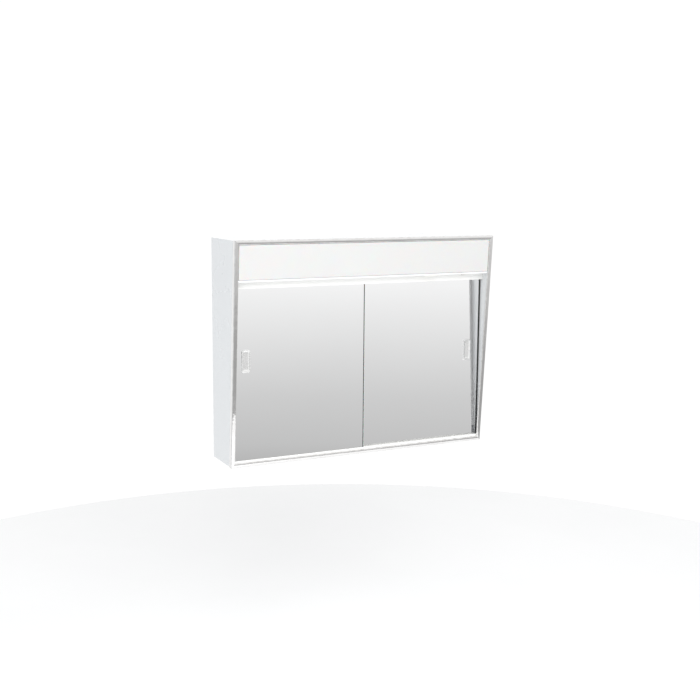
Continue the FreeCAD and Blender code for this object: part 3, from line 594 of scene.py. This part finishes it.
PULL_PROFILE = [  # (in from the edge, out from the glass) as shares of the pull's height
    (0.0, 0.0), (0.02, 0.45), (0.10, 0.72), (0.26, 0.90), (0.46, 0.99), (0.62, 1.0),
    (0.80, 0.95), (0.98, 0.78), (1.16, 0.54), (1.40, 0.38), (1.75, 0.30), (2.2, 0.27),
    (2.7, 0.26)]


PULL_CORNER = 5 * MM
PULL_LEAST_CORNER = 1.2 * MM
PULL_TIGHTENING = 0.55


def finger_pull(node):
    """Plated cast pull: a rolled rim round a scooped finger well."""
    low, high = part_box(node)
    centre = (low + high) / 2
    half_across, half_up = (high.x - low.x) / 2, (high.z - low.z) / 2
    rise = high.y - low.y
    work = bmesh.new()
    rings = []
    for inwards, outwards in PULL_PROFILE:
        inset = inwards * rise
        corner = max(PULL_CORNER - PULL_TIGHTENING * inset, PULL_LEAST_CORNER)
        outline = rounded_rectangle(half_across - inset, half_up - inset, corner)
        rings.append([work.verts.new((centre.x + p.x, high.y - outwards * rise, centre.z + p.y))
                      for p in outline])
    bridge_rings(work, rings)
    close_ends(work, rings[0], rings[-1])
    work.faces.layers.float.new("edge")
    thing = to_object(work, f"{node}_finished", [FINISHES["plated_pull"]], 60.0)
    return stand_for(even_shading(thing), node)


# ------------------------------------------------------------------ turned pieces
def turned(name, outline, start, along, material, sides=48):
    """Turned piece: (radius, distance) points spun round an axis."""
    direction, across, up = square_axes(along)
    work = bmesh.new()
    rings = []
    for radius, distance in outline:
        middle = Vector(start) + direction * distance
        rings.append([work.verts.new(
            middle + (across * math.cos(angle) + up * math.sin(angle)) * radius)
            for angle in turn_angles(sides)])
    bridge_rings(work, rings)
    bmesh.ops.remove_doubles(work, verts=work.verts, dist=MERGE)
    bmesh.ops.recalc_face_normals(work, faces=work.faces)
    return to_object(work, name, [material], 40.0)


def lamp_axis(node, side):
    """Outer end of a lamp piece on the lamp's axis, and its size along and across."""
    low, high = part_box(node)
    outer = high.x if side > 0 else low.x
    start = Vector((outer, (low.y + high.y) / 2, (low.z + high.z) / 2))
    return start, high.x - low.x, (high.z - low.z) / 2


BULB_NECK = 12.7 * MM
BULB_SHOULDER = math.radians(124)
NECK_STEPS = 10
GLOBE_STEPS = 28
NECK_STRAIGHTNESS = 0.35


def bulb(name, side):
    """Frosted globe lamp with a smooth neck."""
    start, length, radius = lamp_axis(f"{name}_bulb", side)
    middle = length - radius
    outline = [(0.0, 0.0), (BULB_NECK, 0.0)]
    join = (radius * math.sin(BULB_SHOULDER), middle + radius * math.cos(BULB_SHOULDER))
    for step in range(1, NECK_STEPS):
        share = step / NECK_STEPS
        ease = share * share * (3 - 2 * share)
        swell = NECK_STRAIGHTNESS * share + (1 - NECK_STRAIGHTNESS) * ease
        outline.append((BULB_NECK + (join[0] - BULB_NECK) * swell, join[1] * share))
    for step in range(GLOBE_STEPS + 1):
        angle = BULB_SHOULDER * (1 - step / GLOBE_STEPS)
        outline.append((radius * math.sin(angle), middle + radius * math.cos(angle)))
    thing = turned(f"{name}_bulb_finished", outline, start, (-side, 0, 0),
                   FINISHES["frosted_glass"])
    return stand_for(thing, f"{name}_bulb")


THREAD_SIDES = 40
RINGS_PER_TURN = 8


def threaded(name, start, along, radius, plain, length, depth, pitch, tip, material):
    """Rolled screw thread: rings whose radius follows a helix, closed at both ends."""
    direction, across, up = square_axes(along)
    sides, steps = THREAD_SIDES, int(length / pitch * RINGS_PER_TURN)
    work = bmesh.new()
    rings = []
    for step in range(steps + 1):
        distance = length * step / steps
        fade = min(1.0, distance / plain, (length - distance) / plain)
        ring = []
        for angle in turn_angles(sides):
            wave = 0.5 - 0.5 * math.cos(2 * math.pi * distance / pitch - angle)
            reach = radius - depth * wave * fade
            ring.append(work.verts.new(Vector(start) + direction * distance
                        + (across * math.cos(angle) + up * math.sin(angle)) * reach))
        rings.append(ring)
    bridge_rings(work, rings)
    cap = [rings[-1]]
    for beyond, reach in tip:
        middle = Vector(start) + direction * (length + beyond)
        cap.append([work.verts.new(
            middle + (across * math.cos(angle) + up * math.sin(angle)) * reach)
            for angle in turn_angles(sides)])
    bridge_rings(work, cap)
    close_ends(work, rings[0], cap[-1])
    return to_object(work, name, [material], 50.0)


def bulb_base(name, side):
    """Threaded aluminium base with its solder button at the outer end."""
    start, length, radius = lamp_axis(f"{name}_bulb_base", side)
    inner = start - Vector((side * length, 0, 0))
    tip_length = 3 * MM
    tip = [(0.6 * MM, radius - 1.4 * MM), (1.4 * MM, radius * 0.62), (2.0 * MM, 4.6 * MM),
           (2.2 * MM, 4.2 * MM), (2.7 * MM, 3.6 * MM), (3.0 * MM, 2.2 * MM)]
    thing = threaded(f"{name}_bulb_base_finished", inner, (side, 0, 0), radius, 3 * MM,
                     length - tip_length, 0.9 * MM, 3.63 * MM, tip, FINISHES["lamp_aluminium"])
    return stand_for(thing, f"{name}_bulb_base")


def lampholder(name, side):
    """Glazed porcelain holder: a flange, a barrel and a bore for the screw shell."""
    start, length, radius = lamp_axis(f"{name}_lampholder", side)
    barrel, bore, floor, flange = 19 * MM, 14.2 * MM, 8 * MM, 5 * MM
    corners = [(0, 0), (radius, 0), (radius, flange), (barrel, flange), (barrel, length),
               (bore, length), (bore, floor), (0, floor)]
    outline = rounded(corners, [0, 0.8 * MM, 1.6 * MM, 1.5 * MM, 1.4 * MM, 1.0 * MM, 0.5 * MM, 0])
    thing = turned(f"{name}_lampholder_finished", [tuple(p) for p in outline], start,
                   (-side, 0, 0), FINISHES["porcelain"], 64)
    return stand_for(thing, f"{name}_lampholder")


# ------------------------------------------------------------------ screws and rivets
HEAD_SIDES = 32


def head_pattern(radius, height, slot_width, slot_depth):
    """One pan head about the origin, standing along +Z, with a straight slot."""
    work = bmesh.new()
    profile = [(radius, 0.0), (radius, 0.35), (radius * 0.93, 0.68), (radius * 0.76, 0.9),
               (radius * 0.45, 1.0)]
    rings = []
    for reach, share in profile:
        rings.append([work.verts.new((reach * math.cos(angle), reach * math.sin(angle),
                                      height * share)) for angle in turn_angles(HEAD_SIDES)])
    bridge_rings(work, rings)
    close_ends(work, rings[0], rings[-1])
    head = to_object(work, "head_pattern", [])
    if slot_width:
        cut = bmesh.new()
        bmesh.ops.create_cube(cut, size=1.0, matrix=Matrix.LocRotScale(
            Vector((0, 0, height)), None, Vector((3 * radius, slot_width, 2 * slot_depth))))
        blade = to_object(cut, "slot_blade", [])
        carve = head.modifiers.new("slot", "BOOLEAN")
        carve.object = blade
        carve.solver = "EXACT"
        settle(head)
        bpy.data.objects.remove(blade)
    return head


def head_spreader():
    """Node tree that puts a head on every point, each turned by its own amount."""
    tree = bpy.data.node_groups.new("fastener_heads", "GeometryNodeTree")
    made = tree.interface.new_socket
    made("Geometry", in_out="INPUT", socket_type="NodeSocketGeometry")
    made("Head", in_out="INPUT", socket_type="NodeSocketObject")
    made("Facing", in_out="INPUT", socket_type="NodeSocketVector")
    made("Seed", in_out="INPUT", socket_type="NodeSocketInt")
    made("Finish", in_out="INPUT", socket_type="NodeSocketMaterial")
    made("Geometry", in_out="OUTPUT", socket_type="NodeSocketGeometry")
    start = tree.nodes.new("NodeGroupInput")
    end = tree.nodes.new("NodeGroupOutput")
    points = place(tree, "GeometryNodeMeshToPoints", Mesh=start.outputs["Geometry"])
    shape = place(tree, "GeometryNodeObjectInfo", Object=start.outputs["Head"])
    spin = place(tree, "FunctionNodeRandomValue", {"data_type": "FLOAT"})
    feed(tree, spin.inputs["Seed"], start.outputs["Seed"])
    numbers = [s for s in spin.inputs if s.type == "VALUE" and s.name in ("Min", "Max")]
    numbers[0].default_value = 0.0
    numbers[1].default_value = math.pi
    angle = next(s for s in spin.outputs if s.type == "VALUE" and s.enabled)
    about = place(tree, "ShaderNodeCombineXYZ", Z=angle)
    aim = place(tree, "FunctionNodeAlignEulerToVector", {"axis": "Z"},
                Rotation=about.outputs[0], Vector=start.outputs["Facing"])
    spread = place(tree, "GeometryNodeInstanceOnPoints", Points=points.outputs[0],
                   Instance=shape.outputs["Geometry"], Rotation=aim.outputs[0])
    real = place(tree, "GeometryNodeRealizeInstances", Geometry=spread.outputs[0])
    coat = place(tree, "GeometryNodeSetMaterial", Geometry=real.outputs[0],
                 Material=start.outputs["Finish"])
    tree.links.new(coat.outputs[0], end.inputs["Geometry"])
    return tree


HEAD_SPREADER = head_spreader()


def seats_of(node, facing):
    """Where each of a node's separate heads sits: the middle of its lowest face."""
    work = bmesh.new()
    work.from_mesh(frame["nodes"][node].data)
    bmesh.ops.remove_doubles(work, verts=work.verts, dist=MERGE)
    waiting = set(work.verts)
    direction = Vector(facing)
    seats = []
    while waiting:
        island, edge_of_search = set(), [waiting.pop()]
        while edge_of_search:
            here = edge_of_search.pop()
            island.add(here)
            for link in here.link_edges:
                other = link.other_vert(here)
                if other in waiting:
                    waiting.discard(other)
                    edge_of_search.append(other)
        places = [v.co for v in island]
        middle = sum(places, Vector()) / len(places)
        lowest = min(direction.dot(p) for p in places)
        seats.append(middle + direction * (lowest - direction.dot(middle)))
    work.free()
    return sorted(seats, key=lambda p: (p.x, p.y, p.z))


def heads(node, facing, radius, height, slot=0.0, seed=1):
    """All the screw or rivet heads of one node."""
    pattern = head_pattern(radius, height, slot, height * 0.45)
    mesh = bpy.data.meshes.new(f"{node}_finished")
    mesh.from_pydata(seats_of(node, facing), [], [])
    thing = bpy.data.objects.new(f"{node}_finished", mesh)
    bpy.context.scene.collection.objects.link(thing)
    spread = thing.modifiers.new("heads", "NODES")
    spread.node_group = HEAD_SPREADER
    values = {"Head": pattern, "Facing": facing, "Seed": seed,
              "Finish": FINISHES[SLOT_OF[node]]}
    for item in HEAD_SPREADER.interface.items_tree:
        if item.in_out == "INPUT" and item.name in values:
            spread[item.identifier] = values[item.name]
    settle(thing)
    bpy.data.objects.remove(pattern)
    return stand_for(thing, node)


# ------------------------------------------------------------------ make the pieces
trim_frame()
for side_name, side_sign in (("left", -1), ("right", 1)):
    mirror_pane(f"{side_name}_door_mirror")
    finger_pull(f"{side_name}_door_pull")
    bulb(side_name, side_sign)
    bulb_base(side_name, side_sign)
    lampholder(side_name, side_sign)

RIVET_HEAD = (2.4 * MM, 0.9 * MM)
SCREW_HEAD = (3.4 * MM, 1.8 * MM, 0.8 * MM)
heads("lower_track_rivets", (0, 0, 1), *RIVET_HEAD, seed=3)
heads("upper_track_rivets", (0, 0, -1), *RIVET_HEAD, seed=4)
heads("reflector_screws", (0, 0, 1), *SCREW_HEAD, seed=5)
heads("earth_screw", (0, -1, 0), *SCREW_HEAD, seed=6)

# how wide each plain piece's edges are rounded, in millimetres
SOFT_EDGES = {
    "left_side_panel": 0.25, "right_side_panel": 0.25, "top_panel": 0.3, "bottom_panel": 0.3,
    "back_panel": 0.3, "light_box_floor": 0.3, "lamp_reflector": 0.2, "upper_shelf": 0.3,
    "lower_shelf": 0.3, "shelf_ledges": 0.25, "upper_door_track": 0.3, "lower_door_track": 0.3,
    "left_door_bumper": 0.25, "right_door_bumper": 0.25, "left_door_glides": 0.18,
    "right_door_glides": 0.18, "left_door_backing": 0.08, "right_door_backing": 0.08,
    "frame_corner_keys": 0.25, "diffuser": 0.6, "diffuser_clips": 0.15,
    "left_lamp_bracket": 0.3, "right_lamp_bracket": 0.3, "switch_body": 0.5,
    "switch_rocker": 0.35, "outlet_body": 0.6, "outlet_contacts": 0.12, "wire_nuts": 0.5,
    "left_screw_shell": 0.12, "right_screw_shell": 0.12, "lampholder_screws": 0.4,
    "left_lamp_lead": 0.2, "right_lamp_lead": 0.2, "switch_lead": 0.2, "outlet_lead": 0.2,
}
for node_name, edge_width in SOFT_EDGES.items():
    softened(node_name, edge_width * MM)


# ------------------------------------------------------------------ floor, light and camera
FLOOR_DROP = 0.6
FLOOR_RADIUS = 1.85
FLOOR_MIDDLE = (0, -0.1, BOTTOM - FLOOR_DROP)


def stage_floor():
    """Plain round pale floor well below the cabinet."""
    work = bmesh.new()
    bmesh.ops.create_circle(work, cap_ends=True, segments=96, radius=FLOOR_RADIUS,
                            matrix=Matrix.Translation(FLOOR_MIDDLE))
    paint = finish(
        "studio_floor", (0.93, 0.93, 0.93), (0.92, 0.92, 0.92), (0.7, 0.8), 3.0, dust=0.0)
    to_object(work, "studio_floor", [paint])


def softbox(name, spot, aim, size, power):
    """Soft panel of light, itself seen neither directly nor in the mirrors."""
    light = bpy.data.lights.new(name, "AREA")
    light.shape = "RECTANGLE"
    light.size, light.size_y = size
    light.energy = power
    thing = bpy.data.objects.new(name, light)
    thing.location = spot
    thing.rotation_euler = (Vector(aim) - Vector(spot)).to_track_quat("-Z", "Y").to_euler()
    thing.visible_camera = False
    thing.visible_glossy = False
    bpy.context.scene.collection.objects.link(thing)


WHITE_SIDE = (1.04, 1.04, 1.04, 1.0)
GREY_SIDE = (0.40, 0.43, 0.46, 1.0)
# (sine of the angle above the horizon, brightness) of the fade in front of the cabinet
FRONT_GRADIENT = [(-0.60, 0.30), (-0.27, 0.44), (-0.24, 0.575), (-0.198, 0.655), (-0.160, 0.77),
                  (-0.122, 0.89), (-0.098, 0.97), (0.0, 1.03)]


def brightness_by_height(tree, up, steps):
    """Colour ramp over the height looked at; a ramp's stops carry the given brightnesses."""
    lowest, highest = steps[0][0], steps[-1][0]
    above = calculate(tree, "SUBTRACT", up, lowest)
    rise = calculate(tree, "DIVIDE", above, highest - lowest, clamp=True)
    ramp = place(tree, "ShaderNodeValToRGB", Fac=rise)
    stops = ramp.color_ramp.elements
    for i, (sine, grey) in enumerate(steps):
        if i == 0:
            stop = stops[0]
        elif i == len(steps) - 1:
            stop = stops[i]
        else:
            stop = stops.new((sine - lowest) / (highest - lowest))
        stop.color = (grey, grey, grey, 1.0)
    return ramp.outputs["Color"]


def studio_world():
    """Plain white all round, fading softly to grey low in front and behind on the left."""
    world = bpy.data.worlds.new("studio")
    bpy.context.scene.world = world
    world.use_nodes = True
    tree = world.node_tree
    towards = place(tree, "ShaderNodeTexCoord").outputs["Generated"]
    split = place(tree, "ShaderNodeSeparateXYZ", Vector=towards)
    east, north, up = split.outputs
    behind = calculate(tree, "MULTIPLY", rescale(tree, east, -0.3, -0.75),
                       rescale(tree, north, -0.55, -0.15))
    room = blend_colours(tree, behind, WHITE_SIDE, GREY_SIDE)
    in_front = calculate(tree, "MULTIPLY", rescale(tree, north, -0.05, -0.35),
                         rescale(tree, east, -0.15, 0.0))
    room = blend_colours(tree, in_front, room, brightness_by_height(tree, up, FRONT_GRADIENT))
    feed(tree, tree.nodes["Background"].inputs["Color"], room)


LENS = 56.7
SENSOR_WIDTH = 36.0
CAMERA_SPOT = (-1.079, -2.193, 0.365)
CAMERA_YAW = math.radians(26.66)
CAMERA_PITCH = math.radians(9.01)
CAMERA_ROLL = math.radians(0.45)


def camera():
    """Stands to the left of the cabinet, a little above it, level but for a slight roll."""
    lens = bpy.data.cameras.new("camera")
    lens.sensor_width = SENSOR_WIDTH
    lens.lens = LENS
    thing = bpy.data.objects.new("camera", lens)
    turn = (Matrix.Rotation(-CAMERA_YAW, 3, "Z")
            @ Matrix.Rotation(math.pi / 2 - CAMERA_PITCH, 3, "X"))
    thing.location = CAMERA_SPOT
    thing.rotation_euler = (turn @ Matrix.Rotation(CAMERA_ROLL, 3, "Z")).to_euler()
    bpy.context.scene.collection.objects.link(thing)
    bpy.context.scene.camera = thing


stage_floor()
softbox("front_softbox", (-0.7, -2.6, 1.5), (0, 0, 0), (1.8, 1.2), 41.0)
softbox("low_softbox", (-0.5, -1.7, -0.5), (0, 0, 0), (1.4, 0.5), 2.5)
softbox("left_softbox", (-1.3, -0.5, 1.3), (-0.3, 0, 0.3), (0.7, 0.7), 0.8)
studio_world()
camera()
bpy.context.scene.view_settings.view_transform = "Standard"
